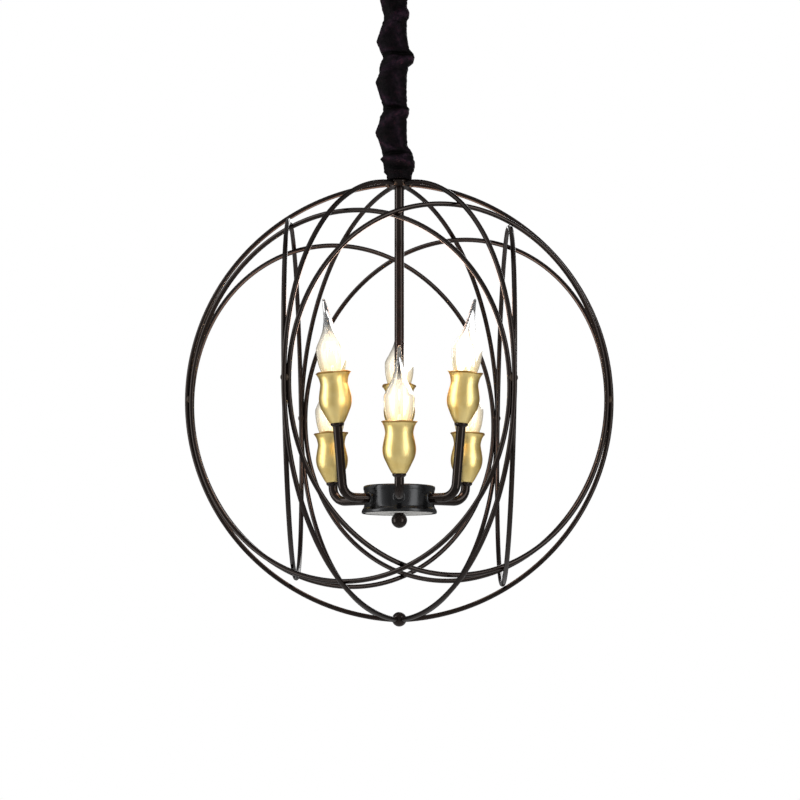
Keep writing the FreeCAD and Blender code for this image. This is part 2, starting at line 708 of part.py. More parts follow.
def sleeve_solid(grow):
    """The sleeve's outer form, or its bore when it is grown by minus the cloth."""
    top = -number("canopy_depth + sleeve_end_gap")
    bottom = -number(LOW_LOOP_TOP + " + loop_height + coupling_height - sleeve_end_gap")
    right = number("link_width / 2 + sleeve_ease + sleeve_cloth") + grow
    left = right + number("sleeve_slack")
    depth = number("loop_width * 0.7 + sleeve_ease + sleeve_cloth") + grow
    neck = number("loop_nut_dia / 2 + sleeve_ease + sleeve_cloth") + grow
    folds = [(bottom, neck, neck, neck)]
    for share, out_left, out_right in FOLDS:
        folds.append((bottom + (top - bottom) * share, left + out_left, right + out_right, depth))
    folds.append((top - number("loop_nut_height"), neck, neck, neck))
    folds.append((top, neck, neck, neck))
    rings = []
    for low, high in zip(folds, folds[1:]):
        for step in range(STEPS_PER_FOLD):
            run = step / STEPS_PER_FOLD
            ease = (1 - math.cos(math.pi * run)) / 2
            z, *sides = [a + (b - a) * (run if a == low[0] else ease) for a, b in zip(low, high)]
            rings.append(oval_ring(*sides, z))
    rings.append(oval_ring(*folds[-1][1:], top))
    return Part.makeLoft(rings, True, True)


def sleeve():
    keep("fabric_sleeve", shaped("fabric_sleeve", sleeve_solid(0.0).cut(sleeve_solid(-number("sleeve_cloth")))))


# --------------------------------------------------------------------------- build and write

ceiling()
chain()
cage()
rod_and_hub()
candles()
sleeve()
doc.recompute()

for obj in doc.Objects:
    if "Invalid" in obj.State or "Error" in obj.State:
        raise RuntimeError("%s failed: %s" % (obj.Name, obj.State))
for obj in subparts:
    if obj.Shape.isNull() or not obj.Shape.isValid() or not obj.Shape.Solids:
        raise RuntimeError("%s has no valid solid" % obj.Label)
for obj in subparts:
    obj.Shape.exportStep("parts/%s.step" % obj.Label)
    print("%-20s %d solids %12.1f mm3" % (obj.Label, len(obj.Shape.Solids), obj.Shape.Volume))
print("nodes", len(subparts), "orb centre", round(ORB_Z, 3))
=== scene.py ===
"""Orb chandelier: smooth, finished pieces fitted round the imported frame.

Metres, +Z up, the ceiling at z = 0.  Sizes below are in millimetres and come in through MM.
"""

import math

import bpy
from mathutils import Matrix, Vector, noise


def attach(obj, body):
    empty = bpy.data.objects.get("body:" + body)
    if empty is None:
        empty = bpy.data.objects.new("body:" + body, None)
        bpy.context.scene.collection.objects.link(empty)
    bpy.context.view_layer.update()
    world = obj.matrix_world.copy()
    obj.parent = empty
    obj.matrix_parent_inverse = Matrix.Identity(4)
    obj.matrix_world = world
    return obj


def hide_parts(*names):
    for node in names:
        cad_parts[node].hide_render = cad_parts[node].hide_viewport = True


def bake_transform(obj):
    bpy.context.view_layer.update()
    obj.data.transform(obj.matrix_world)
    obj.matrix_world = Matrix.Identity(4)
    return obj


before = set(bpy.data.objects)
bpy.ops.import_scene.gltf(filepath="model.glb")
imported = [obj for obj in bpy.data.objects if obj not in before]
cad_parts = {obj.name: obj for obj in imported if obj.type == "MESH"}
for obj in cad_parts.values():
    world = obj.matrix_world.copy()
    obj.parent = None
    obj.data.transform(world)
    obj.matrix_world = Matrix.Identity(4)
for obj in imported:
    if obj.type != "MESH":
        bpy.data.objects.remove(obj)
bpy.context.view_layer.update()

MM = 0.001
SIDES = 6
ORB_Z = -395.764
EQUATOR_R = 175.8
WIRE_R = 2.0
RIB_R = 182.0
RIB_BOW = 6.2
POLE = 181.36
HOOP_R = 148.05
HOOP_OUT = 87.9
HOOP_LEAN = 1.15
HOOP_LIFTS = (-4.7, 0.4)
COLLAR_TOP = -211.4
COLLAR_LOW = -217.4
COLLAR_R = 9.0
ROD_R = 4.0
HUB_TOP = -467.364
HUB_LOW = -490.364
ARM_Z = -478.464
ARM_R = 3.85
ARM_BEND = 12.0
ARM_ROOT = 22.0
LOW_ARM = {"reach": 64.4, "rise": 16.1, "lean": 3.0}
HIGH_ARM = {"reach": 58.4, "rise": 60.1, "lean": 5.5}
CUP_HEIGHT = 41.5
LIP_FROM = 40.3
SOCKET_FOOT = 8.0
GLASS_FOOT = 33.3
BULB_HEIGHT = 69.0
BULB_WIDEST = 27.0
TIP_BEND = 3.5
GLASS_WALL = 0.7
BALL_R = 6.0
BEAD_R = 3.0
BLOB_R = 2.6
FINIAL_R = 6.5
FINIAL_DROP = 5.46
CUP_WAVE_FROM = 34.0
FLOOR_Z = -2200.0
FLOOR_R = 6000.0
FLOOR_WHITE = 0.93
CAMERA_PLACE = (0.6, -1843.6, ORB_Z - 207.8)
CAMERA_TILT = 96.42
CAMERA_LENS = 100.66


# ---------------------------------------------------------------- camera, light and stage

def look():
    """The camera at the photograph's place: below the orb's middle, looking slightly up."""
    camera = bpy.data.objects.new("camera", bpy.data.cameras.new("camera"))
    bpy.context.collection.objects.link(camera)
    camera.location = Vector(CAMERA_PLACE) * MM
    camera.rotation_euler = (math.radians(CAMERA_TILT), 0.0, 0.0)
    camera.data.sensor_width = 36.0
    camera.data.lens = CAMERA_LENS
    bpy.context.scene.camera = camera


def lamp(name, place, target, wide, tall, watts):
    """A soft window of light aimed at a point."""
    data = bpy.data.lights.new(name, "AREA")
    data.shape = "RECTANGLE"
    data.size = wide
    data.size_y = tall
    data.energy = watts
    light = bpy.data.objects.new(name, data)
    bpy.context.collection.objects.link(light)
    light.location = place
    light.rotation_euler = (Vector(target) - Vector(place)).to_track_quat("-Z", "Y").to_euler()


def glow(name, place, colour, size, watts):
    """A small warm light inside the lamp, which doesn't show as a bright ball itself."""
    data = bpy.data.lights.new(name, "POINT")
    data.energy = watts
    data.color = colour
    data.shadow_soft_size = size
    light = bpy.data.objects.new(name, data)
    bpy.context.collection.objects.link(light)
    light.location = place
    light.visible_camera = False
    light.visible_transmission = False


# What metal and lacquer see round the studio: degrees from the camera, right positive, and
# brightness.
STUDIO_WALLS = ((-180.0, 0.12), (-128.0, 0.10), (-104.0, 0.75), (-64.0, 0.95), (-44.0, 0.46),
                (0.0, 0.47), (22.0, 1.0), (76.0, 1.0), (100.0, 0.12), (180.0, 0.12))
SKY_LIGHT = 0.45


def round_the_studio(nodes, links):
    """Brightness by compass direction, so that polished metal shows walls and gaps."""
    place = nodes.new("ShaderNodeTexCoord")
    split = nodes.new("ShaderNodeSeparateXYZ")
    links.new(place.outputs["Generated"], split.inputs[0])
    front = nodes.new("ShaderNodeMath")
    front.operation = "MULTIPLY"
    front.inputs[1].default_value = -1.0
    links.new(split.outputs["Y"], front.inputs[0])
    compass = nodes.new("ShaderNodeMath")
    compass.operation = "ARCTAN2"
    links.new(split.outputs["X"], compass.inputs[0])
    links.new(front.outputs[0], compass.inputs[1])
    share = nodes.new("ShaderNodeMapRange")
    share.inputs["From Min"].default_value = -math.pi
    share.inputs["From Max"].default_value = math.pi
    links.new(compass.outputs[0], share.inputs["Value"])
    walls = nodes.new("ShaderNodeValToRGB")
    ramp = walls.color_ramp
    ramp.interpolation = "EASE"
    for index, (angle, bright) in enumerate(STUDIO_WALLS):
        stop = ramp.elements[index] if index < 2 else ramp.elements.new(0.5)
        stop.position = 0.5 + angle / 360.0
        stop.color = (bright, bright, bright, 1.0)
    links.new(share.outputs["Result"], walls.inputs["Fac"])
    return walls.outputs["Color"]


def studio():
    """White surroundings for the eye, banded walls for reflections and a softer level as light."""
    scene = bpy.context.scene
    scene.view_settings.view_transform = "Standard"
    world = bpy.data.worlds.new("studio")
    scene.world = world
    world.use_nodes = True
    nodes, links = world.node_tree.nodes, world.node_tree.links
    nodes.clear()
    path = nodes.new("ShaderNodeLightPath")
    seen = nodes.new("ShaderNodeMath")
    seen.operation = "MAXIMUM"
    links.new(path.outputs["Is Camera Ray"], seen.inputs[0])
    links.new(path.outputs["Is Glossy Ray"], seen.inputs[1])
    through = nodes.new("ShaderNodeMath")
    through.operation = "MAXIMUM"
    links.new(seen.outputs[0], through.inputs[0])
    links.new(path.outputs["Is Transmission Ray"], through.inputs[1])
    level = nodes.new("ShaderNodeMapRange")
    level.inputs["To Min"].default_value = SKY_LIGHT
    level.inputs["To Max"].default_value = 1.0
    links.new(through.outputs[0], level.inputs["Value"])
    mirrored = nodes.new("ShaderNodeMix")
    mirrored.inputs[2].default_value = 1.0
    links.new(path.outputs["Is Glossy Ray"], mirrored.inputs[0])
    links.new(round_the_studio(nodes, links), mirrored.inputs[3])
    strength = nodes.new("ShaderNodeMath")
    strength.operation = "MULTIPLY"
    links.new(level.outputs["Result"], strength.inputs[0])
    links.new(mirrored.outputs[0], strength.inputs[1])
    sky = nodes.new("ShaderNodeBackground")
    sky.inputs["Color"].default_value = (1.0, 1.0, 1.0, 1.0)
    links.new(strength.outputs[0], sky.inputs["Strength"])
    out = nodes.new("ShaderNodeOutputWorld")
    links.new(sky.outputs[0], out.inputs["Surface"])
    middle = (0.0, 0.0, ORB_Z * MM)
    lamp("left_window", (-1.98, -0.5, -0.2), middle, 0.9, 2.6, 22.0)
    lamp("right_window", (1.6, -1.4, -0.2), middle, 1.0, 2.6, 24.0)
    lamp("back_window", (0.4, 1.8, 0.3), middle, 0.9, 0.9, 6.0)
    glow("heart_glow", (0.0, 0.0, (ORB_Z + 72.0) * MM), (1.0, 0.66, 0.50), 0.045, 0.7)
    for side in range(SIDES):
        place = candle_place(side) @ Vector((0.0, 0.0, (GLASS_FOOT + BULB_WIDEST) * MM))
        glow("candle_glow_%d" % (side + 1), place, (1.0, 0.70, 0.42), 0.011, 0.06)


def floor():
    """A pale floor well below the hanging piece."""
    bpy.ops.object.select_all(action="DESELECT")
    bpy.ops.mesh.primitive_circle_add(vertices=96, radius=FLOOR_R * MM, fill_type="NGON",
                                      location=(0, 0, FLOOR_Z * MM))
    disc = bpy.context.object
    disc.name = "floor"
    bpy.ops.object.transform_apply(location=True, rotation=True, scale=True)
    pale = bpy.data.materials.new("pale_floor")
    pale.use_nodes = True
    nodes, links = pale.node_tree.nodes, pale.node_tree.links
    shader = nodes["Principled BSDF"]
    shader.inputs["Base Color"].default_value = (0.9, 0.9, 0.9, 1.0)
    shader.inputs["Roughness"].default_value = 0.7
    path = nodes.new("ShaderNodeLightPath")
    seen = nodes.new("ShaderNodeMath")
    seen.operation = "MULTIPLY"
    seen.inputs[1].default_value = FLOOR_WHITE
    links.new(path.outputs["Is Camera Ray"], seen.inputs[0])
    white = nodes.new("ShaderNodeEmission")
    mix = nodes.new("ShaderNodeMixShader")
    links.new(seen.outputs[0], mix.inputs["Fac"])
    links.new(shader.outputs[0], mix.inputs[1])
    links.new(white.outputs[0], mix.inputs[2])
    links.new(mix.outputs[0], nodes["Material Output"].inputs["Surface"])
    disc.data.materials.append(pale)


# ---------------------------------------------------------------- finishes

def new_group(name, inputs, outputs):
    """An empty shader group with named sockets and its two end nodes."""
    group = bpy.data.node_groups.new(name, "ShaderNodeTree")
    for socket, kind, value in inputs:
        made = group.interface.new_socket(socket, in_out="INPUT", socket_type=kind)
        made.default_value = value
    for socket, kind in outputs:
        group.interface.new_socket(socket, in_out="OUTPUT", socket_type=kind)
    return group, group.nodes.new("NodeGroupInput"), group.nodes.new("NodeGroupOutput")


def mottle_group():
    """Cloudy colour change with fine speckle, and the matching change of roughness and height."""
    group, given, made = new_group(
        "mottle",
        [("Dark", "NodeSocketColor", (0.01, 0.01, 0.01, 1.0)),
         ("Light", "NodeSocketColor", (0.05, 0.04, 0.03, 1.0)),
         ("Cloud Scale", "NodeSocketFloat", 60.0), ("Speckle Scale", "NodeSocketFloat", 900.0),
         ("Smooth", "NodeSocketFloat", 0.3), ("Rough", "NodeSocketFloat", 0.5)],
        [("Color", "NodeSocketColor"), ("Roughness", "NodeSocketFloat"), ("Height", "NodeSocketFloat")])
    nodes, links = group.nodes, group.links
    place = nodes.new("ShaderNodeTexCoord")
    cloud = nodes.new("ShaderNodeTexNoise")
    cloud.inputs["Detail"].default_value = 3.0
    links.new(place.outputs["Object"], cloud.inputs["Vector"])
    links.new(given.outputs["Cloud Scale"], cloud.inputs["Scale"])
    speckle = nodes.new("ShaderNodeTexNoise")
    speckle.inputs["Detail"].default_value = 2.0
    links.new(place.outputs["Object"], speckle.inputs["Vector"])
    links.new(given.outputs["Speckle Scale"], speckle.inputs["Scale"])
    both = nodes.new("ShaderNodeMix")
    both.inputs["Factor"].default_value = 0.35
    links.new(cloud.outputs["Fac"], both.inputs[2])
    links.new(speckle.outputs["Fac"], both.inputs[3])
    spread = nodes.new("ShaderNodeMapRange")
    spread.inputs["From Min"].default_value = 0.35
    spread.inputs["From Max"].default_value = 0.65
    links.new(both.outputs[0], spread.inputs["Value"])
    tint = nodes.new("ShaderNodeMix")
    tint.data_type = "RGBA"
    links.new(spread.outputs["Result"], tint.inputs[0])
    links.new(given.outputs["Dark"], tint.inputs[6])
    links.new(given.outputs["Light"], tint.inputs[7])
    rough = nodes.new("ShaderNodeMix")
    links.new(spread.outputs["Result"], rough.inputs[0])
    links.new(given.outputs["Smooth"], rough.inputs[2])
    links.new(given.outputs["Rough"], rough.inputs[3])
    links.new(tint.outputs[2], made.inputs["Color"])
    links.new(rough.outputs[0], made.inputs["Roughness"])
    links.new(speckle.outputs["Fac"], made.inputs["Height"])
    return group


MOTTLE = mottle_group()


def finish(name, dark, light, smooth, rough, cloud=60.0, speckle=900.0, bump=0.0, **sockets):
    """A finish whose colour and roughness wander between two values; other sockets are plain."""
    material = bpy.data.materials.new(name)
    material.use_nodes = True
    nodes, links = material.node_tree.nodes, material.node_tree.links
    shader = nodes["Principled BSDF"]
    mottle = nodes.new("ShaderNodeGroup")
    mottle.node_tree = MOTTLE
    mottle.inputs["Dark"].default_value = (*dark, 1.0)
    mottle.inputs["Light"].default_value = (*light, 1.0)
    mottle.inputs["Cloud Scale"].default_value = cloud
    mottle.inputs["Speckle Scale"].default_value = speckle
    mottle.inputs["Smooth"].default_value = smooth
    mottle.inputs["Rough"].default_value = rough
    links.new(mottle.outputs["Color"], shader.inputs["Base Color"])
    links.new(mottle.outputs["Roughness"], shader.inputs["Roughness"])
    if bump:
        raised = nodes.new("ShaderNodeBump")
        raised.inputs["Strength"].default_value = bump
        raised.inputs["Distance"].default_value = 0.2 * MM
        links.new(mottle.outputs["Height"], raised.inputs["Height"])
        links.new(raised.outputs["Normal"], shader.inputs["Normal"])
    for socket, value in sockets.items():
        shader.inputs[socket.replace("_", " ")].default_value = value
    return material


FINISHES = {
    "bronze_black": finish("bronze_black_lacquer", (0.0007, 0.0005, 0.0005), (0.0086, 0.0042, 0.0032),
                           0.10, 0.16, cloud=45.0, speckle=900.0, Metallic=0.0,
                           Specular_IOR_Level=0.34, Specular_Tint=(1.0, 0.84, 0.77, 1.0)),
    "hub_black": finish("hub_black_lacquer", (0.0014, 0.0014, 0.0016), (0.0050, 0.0050, 0.0058),
                        0.20, 0.28, cloud=45.0, speckle=900.0, Metallic=0.0,
                        Specular_IOR_Level=0.5, Specular_Tint=(0.95, 0.97, 1.0, 1.0)),
    # The cup's rolled lip: darker orange-brown metal, a painted shade along the rim.
    "lip_painted_shade": finish("rolled_lip_painted_shade", (0.34, 0.19, 0.05), (0.55, 0.34, 0.11), 0.40, 0.52,
                         cloud=120.0, speckle=2200.0, bump=0.05, Metallic=1.0),
    "weld_bronze": finish("weld_bronze", (0.012, 0.009, 0.007), (0.09, 0.06, 0.04), 0.3, 0.5,
                          cloud=260.0, speckle=1500.0, bump=0.4, Metallic=0.6),
    "cup_gold": finish("satin_gold", (0.92, 0.69, 0.245), (0.99, 0.80, 0.35), 0.33, 0.40,
                       cloud=90.0, speckle=2400.0, bump=0.03, Metallic=1.0,
                       Specular_Tint=(0.70, 0.36, 0.12, 1.0)),
    "base_brass": finish("spun_brass", (0.62, 0.43, 0.18), (0.80, 0.60, 0.30), 0.22, 0.4,
                         cloud=160.0, speckle=2000.0, Metallic=1.0),
    "steel": finish("plated_steel", (0.42, 0.41, 0.39), (0.62, 0.61, 0.59), 0.28, 0.45,
                    cloud=80.0, speckle=1500.0, bump=0.1, Metallic=1.0),
    "cover_white": finish("white_enamel", (0.70, 0.69, 0.66), (0.80, 0.79, 0.76), 0.35, 0.5,
                          cloud=70.0, speckle=900.0, bump=0.08),
    "socket_black": finish("moulded_black", (0.014, 0.014, 0.014), (0.03, 0.03, 0.03), 0.38, 0.55,
                           cloud=200.0, speckle=2600.0, bump=0.2),
    "earth_green": finish("green_paint", (0.01, 0.16, 0.05), (0.02, 0.24, 0.08), 0.35, 0.55,
                          cloud=200.0, speckle=1800.0, bump=0.1),
}


def ramp_of(nodes, stops):
    """A colour ramp with these positions and colours."""
    node = nodes.new("ShaderNodeValToRGB")
    for index, (position, colour) in enumerate(stops):
        stop = node.color_ramp.elements[index] if index < 2 else node.color_ramp.elements.new(position)
        stop.position = position
        stop.color = (*colour, 1.0)
    return node


def glass_finish():
    """Clear blown glass that glows warm at its foot; the map's V runs up the bulb."""
    material = bpy.data.materials.new("clear_glass")
    material.use_nodes = True
    nodes, links = material.node_tree.nodes, material.node_tree.links
    shader = nodes["Principled BSDF"]
    shader.inputs["Base Color"].default_value = (1.0, 1.0, 1.0, 1.0)
    shader.inputs["Metallic"].default_value = 0.0
    shader.inputs["Roughness"].default_value = 0.02
    shader.inputs["IOR"].default_value = 1.38
    shader.inputs["Transmission Weight"].default_value = 1.0
    mapped = nodes.new("ShaderNodeUVMap")
    mapped.uv_map = "height"
    split = nodes.new("ShaderNodeSeparateXYZ")
    links.new(mapped.outputs["UV"], split.inputs[0])
    glow = ramp_of(nodes, ((0.06, (1.0, 0.74, 0.36)), (0.26, (1.0, 0.86, 0.60)), (0.5, (1.0, 0.92, 0.76)),
                           (0.7, (0.0, 0.0, 0.0))))
    links.new(split.outputs["Y"], glow.inputs["Fac"])
    links.new(glow.outputs["Color"], shader.inputs["Emission Color"])
    facing = nodes.new("ShaderNodeLayerWeight")
    facing.inputs["Blend"].default_value = 0.5
    core = nodes.new("ShaderNodeMapRange")
    core.inputs["From Min"].default_value = 0.8
    core.inputs["From Max"].default_value = 0.1
    core.inputs["To Max"].default_value = 0.24
    links.new(facing.outputs["Facing"], core.inputs["Value"])
    links.new(core.outputs["Result"], shader.inputs["Emission Strength"])
    tint = ramp_of(nodes, ((0.10, (1.0, 0.94, 0.78)), (0.3, (1.0, 0.98, 0.94)),
                           (0.6, (0.99, 0.99, 0.99))))
    links.new(split.outputs["Y"], tint.inputs["Fac"])
    links.new(tint.outputs["Color"], shader.inputs["Base Color"])
    return material


def filament_finish():
    """Lit wire, a little uneven along its length."""
    material = bpy.data.materials.new("hot_filament")
    material.use_nodes = True
    nodes, links = material.node_tree.nodes, material.node_tree.links
    shader = nodes["Principled BSDF"]
    place = nodes.new("ShaderNodeTexCoord")
    flicker = nodes.new("ShaderNodeTexNoise")
    flicker.inputs["Scale"].default_value = 800.0
    links.new(place.outputs["Object"], flicker.inputs["Vector"])
    heat = nodes.new("ShaderNodeMix")
    heat.data_type = "RGBA"
    heat.inputs[6].default_value = (1.0, 0.72, 0.30, 1.0)
    heat.inputs[7].default_value = (1.0, 0.86, 0.55, 1.0)
    links.new(flicker.outputs["Fac"], heat.inputs[0])
    links.new(heat.outputs[2], shader.inputs["Emission Color"])
    shader.inputs["Emission Strength"].default_value = 12.0
    return material


def velvet_finish():
    """Black pile with faint purple in it; painted sheen makes it lighter on the folds and painted shade
    makes it darker between them.
    """
    material = bpy.data.materials.new("sleeve_velvet")
    material.use_nodes = True
    nodes, links = material.node_tree.nodes, material.node_tree.links
    shader = nodes["Principled BSDF"]
    mapped = nodes.new("ShaderNodeUVMap")
    mapped.uv_map = "cloth"
    pile = nodes.new("ShaderNodeTexNoise")
    pile.inputs["Scale"].default_value = 260.0
    pile.inputs["Detail"].default_value = 4.0
    links.new(mapped.outputs["UV"], pile.inputs["Vector"])
    patch = nodes.new("ShaderNodeTexNoise")
    patch.inputs["Scale"].default_value = 22.0
    patch.inputs["Detail"].default_value = 2.0
    links.new(mapped.outputs["UV"], patch.inputs["Vector"])
    shades = ramp_of(nodes, ((0.35, (0.0013, 0.0009, 0.0015)), (0.7, (0.0085, 0.0034, 0.0054)),
                             (0.55, (0.0042, 0.0026, 0.0040))))
    links.new(patch.outputs["Fac"], shades.inputs["Fac"])
    nap = nodes.new("ShaderNodeMix")
    nap.data_type = "RGBA"
    nap.blend_type = "MULTIPLY"
    nap.inputs[0].default_value = 0.6
    links.new(shades.outputs["Color"], nap.inputs[6])
    links.new(pile.outputs["Color"], nap.inputs[7])
    # Fold heights brighten the ridges as a painted sheen and darken the grooves as painted shade.
    raised_folds = nodes.new("ShaderNodeVertexColor")
    raised_folds.layer_name = "folds"
    fold_sheen_and_shade = ramp_of(nodes, ((0.38, (0.12, 0.08, 0.12)), (0.63, (5.0, 4.2, 5.0)), (0.5, (1.0, 1.0, 1.0))))
    links.new(raised_folds.outputs["Color"], fold_sheen_and_shade.inputs["Fac"])
    painted_fold_shading = nodes.new("ShaderNodeMix")
    painted_fold_shading.data_type = "RGBA"
    painted_fold_shading.blend_type = "MULTIPLY"
    painted_fold_shading.inputs[0].default_value = 1.0
    links.new(nap.outputs[2], painted_fold_shading.inputs[6])
    links.new(fold_sheen_and_shade.outputs["Color"], painted_fold_shading.inputs[7])
    links.new(painted_fold_shading.outputs[2], shader.inputs["Base Color"])
    shader.inputs["Roughness"].default_value = 0.6
    shader.inputs["Specular IOR Level"].default_value = 0.05
    shader.inputs["Sheen Weight"].default_value = 0.012
    shader.inputs["Sheen Roughness"].default_value = 0.35
    shader.inputs["Sheen Tint"].default_value = (0.6, 0.5, 0.52, 1.0)
    raised = nodes.new("ShaderNodeBump")
    raised.inputs["Strength"].default_value = 0.5
    raised.inputs["Distance"].default_value = 0.3 * MM
    links.new(pile.outputs["Fac"], raised.inputs["Height"])
    links.new(raised.outputs["Normal"], shader.inputs["Normal"])
    return material


FINISHES["clear_glass"] = glass_finish()
FINISHES["filament"] = filament_finish()
FINISHES["sleeve_velvet"] = velvet_finish()


# ---------------------------------------------------------------- modelling by hand

def begin(add, **size):
    """A new primitive by itself, its place in its mesh, open and selected in edit mode."""
    bpy.ops.object.select_all(action="DESELECT")
    add(**size)
    bpy.ops.object.transform_apply(location=True, rotation=True, scale=True)
    bpy.ops.object.mode_set(mode="EDIT")
    bpy.ops.mesh.select_all(action="SELECT")
    return bpy.context.object


def end(piece, name, crease=40.0):
    """Merges seams, turns the faces outwards and shades the piece smooth up to a crease angle."""
    bpy.ops.mesh.select_all(action="SELECT")
    bpy.ops.mesh.remove_doubles(threshold=0.002 * MM)
    bpy.ops.mesh.normals_make_consistent(inside=False)
    bpy.ops.object.mode_set(mode="OBJECT")
    bpy.ops.object.shade_smooth_by_angle(angle=math.radians(crease))
    piece.name = name
    return piece


def fair(points, between=6):
    """A smooth line through the points of a drawn outline."""
    line = []
    padded = [points[0]] + list(points) + [points[-1]]
    for a, b, c, d in zip(padded, padded[1:], padded[2:], padded[3:]):
        for step in range(between):
            t = step / between
            line.append(tuple(0.5 * (2 * q + (r - p) * t + (2 * p - 5 * q + 4 * r - s) * t * t
                                     + (3 * q - p - 3 * r + s) * t ** 3)
                              for p, q, r, s in zip(a, b, c, d)))
    line.append(tuple(points[-1]))
    return line


def turned(name, outline, steps=64, crease=40.0, closed=False):
    """A piece turned about Z from an outline of (radius, height)."""
    piece = begin(bpy.ops.mesh.primitive_plane_add, size=MM,
                  location=(outline[0][0] * MM, 0, outline[0][1] * MM))
    bpy.ops.mesh.merge(type="CENTER")
    run = list(outline) + ([outline[0]] if closed else [])
    for (r_a, z_a), (r_b, z_b) in zip(run, run[1:]):
        bpy.ops.mesh.extrude_vertices_move(
            TRANSFORM_OT_translate={"value": ((r_b - r_a) * MM, 0, (z_b - z_a) * MM)})
    bpy.ops.mesh.select_all(action="SELECT")
    bpy.ops.mesh.spin(steps=steps, angle=2 * math.pi, center=(0, 0, 0), axis=(0, 0, 1))
    return end(piece, name, crease)


def wire(name, radius, start, tilt, moves, around=20, crease=50.0, ends="NGON"):
    """A round wire drawn in the XZ plane from a start point; tilt turns its end from +Z towards +X.

    A move is ("run", dx, dz), or ("bend", centre x, centre z, degrees, steps), left turns positive.
    """
    piece = begin(bpy.ops.mesh.primitive_circle_add, vertices=around, radius=radius * MM, fill_type=ends,
                  location=(start[0] * MM, 0, start[1] * MM), rotation=(0, math.radians(tilt), 0))
    for kind, *how in moves:
        if kind == "run":
            bpy.ops.mesh.extrude_region_move(
                TRANSFORM_OT_translate={"value": (how[0] * MM, 0, how[1] * MM)})
        else:
            bpy.ops.mesh.spin(steps=how[3], angle=math.radians(how[2]), axis=(0, 1, 0),
                              center=(how[0] * MM, 0, how[1] * MM))
    return end(piece, name, crease)


def twin(piece, name, matrix):
    """A copy with a mesh of its own, set in its place."""
    copy = piece.copy()
    copy.data = piece.data.copy()
    copy.name = name
    bpy.context.collection.objects.link(copy)
    copy.data.transform(matrix)
    return copy


def settle(piece, matrix):
    """Moves a piece's mesh into its place."""
    piece.data.transform(matrix)
    return piece


def drop(piece):
    """Removes a pattern piece once its copies are made."""
    mesh = piece.data
    bpy.data.objects.remove(piece)
    bpy.data.meshes.remove(mesh)


def joined(name, pieces):
    """Several pieces made into one."""
    bpy.ops.object.select_all(action="DESELECT")
    for piece in pieces:
        piece.select_set(True)
    bpy.context.view_layer.objects.active = pieces[0]
    bpy.ops.object.join()
    pieces[0].name = name
    return pieces[0]


def dress(piece, body, slot, *nodes, finish_name=None):
    """Gives a piece its finish and the body it rides on, and hides the nodes it stands for."""
    piece.data.materials.clear()
    piece.data.materials.append(FINISHES[finish_name or slot])
    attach(piece, body)
    if nodes:
        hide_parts(*nodes)
    return piece


def about_z(degrees):
    """A turn round the object's own axis."""
    return Matrix.Rotation(math.radians(degrees), 4, "Z")


def at(x, y, z):
    """A shift given in millimetres."""
    return Matrix.Translation(Vector((x, y, z)) * MM)


# ---------------------------------------------------------------- cage

def ribs():
    """Six meridian ribs, each one arc from the bottom ball to the collar."""
    reach = math.degrees(math.acos((ROD_R + 1.0 + RIB_BOW) / RIB_R))
    foot = (-RIB_BOW + RIB_R * math.cos(math.radians(reach)), -RIB_R * math.sin(math.radians(reach)))
    pattern = wire("rib", WIRE_R, foot, reach, [("bend", -RIB_BOW, 0.0, 2 * reach, 120)])
    for side in range(SIDES):
        name = "meridian_rib_%d" % (side + 1)
        rib = twin(pattern, name + "_wire", about_z(60 * side) @ at(0, 0, ORB_Z))
        dress(rib, "chandelier", "bronze_black", name)
    drop(pattern)


def hoops():
    """Six side hoops, each a closed wire ring."""
    pattern = wire("hoop", WIRE_R, (HOOP_R, 0.0), 0.0, [("bend", 0.0, 0.0, 360.0, 180)],
                   ends="NOTHING")
    for side in range(SIDES):
        name = "side_hoop_%d" % (side + 1)
        where = (about_z(60 * side) @ at(HOOP_OUT, 0, ORB_Z + HOOP_LIFTS[side % 2])
                 @ Matrix.Rotation(math.radians(HOOP_LEAN), 4, "Y") @ about_z(90))
        dress(twin(pattern, name + "_ring", where), "chandelier", "bronze_black", name)
    drop(pattern)


def lump(name, radius, stretch, seed, rough=0.25):
    """A small weld bead: a ball pressed out of round."""
    piece = begin(bpy.ops.mesh.primitive_ico_sphere_add, subdivisions=4, radius=radius * MM)
    piece = end(piece, name, 60.0)
    for vertex in piece.data.vertices:
        spot = vertex.co * (420.0 / max(radius, 1.0)) + Vector((seed, seed * 2.1, 3.0))
        swell = 1.0 + rough * noise.noise(spot)
        vertex.co = Vector([c * s * swell for c, s in zip(vertex.co, stretch)])
    return piece


def welds():
    """A bead where each rib holds its two hoops, at the equator."""
    beads = []
    for side in range(SIDES):
        bead = lump("bead", BEAD_R, (0.9, 1.25, 1.15), side * 1.7)
        beads.append(settle(bead, about_z(60 * side) @ at(EQUATOR_R - WIRE_R + 0.4, 0, ORB_Z)))
    dress(joined("equator_weld_beads", beads), "chandelier", "bronze_black", "equator_welds",
          finish_name="weld_bronze")


